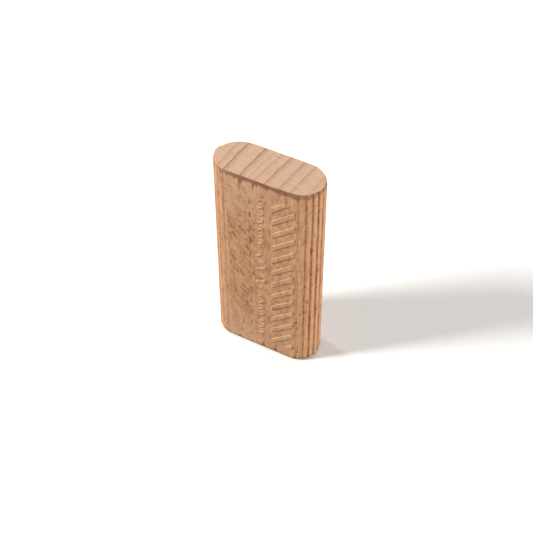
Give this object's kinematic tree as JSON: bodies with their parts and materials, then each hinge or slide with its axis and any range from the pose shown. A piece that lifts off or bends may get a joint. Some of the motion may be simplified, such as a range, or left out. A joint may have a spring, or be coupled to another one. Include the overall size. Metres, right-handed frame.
{
  "type": "loose tenon",
  "caption": "Flat beech tenon with fluted half-round edges and pressed glue bars, glued into matching mortises to join two boards.",
  "frame": {"origin": "centre of the lower end face, on the surface that the tenon stands on", "axes": "+Z along the length, X across the width, Y through the thickness with the front cheek towards -Y"},
  "size_m": [0.024, 0.01, 0.05],
  "materials": {
    "beech": "planed steamed beech, unfinished, with open end grain"
  },
  "bodies": {
    "root": {"loose_tenon": "beech"}
  },
  "joints": []
}
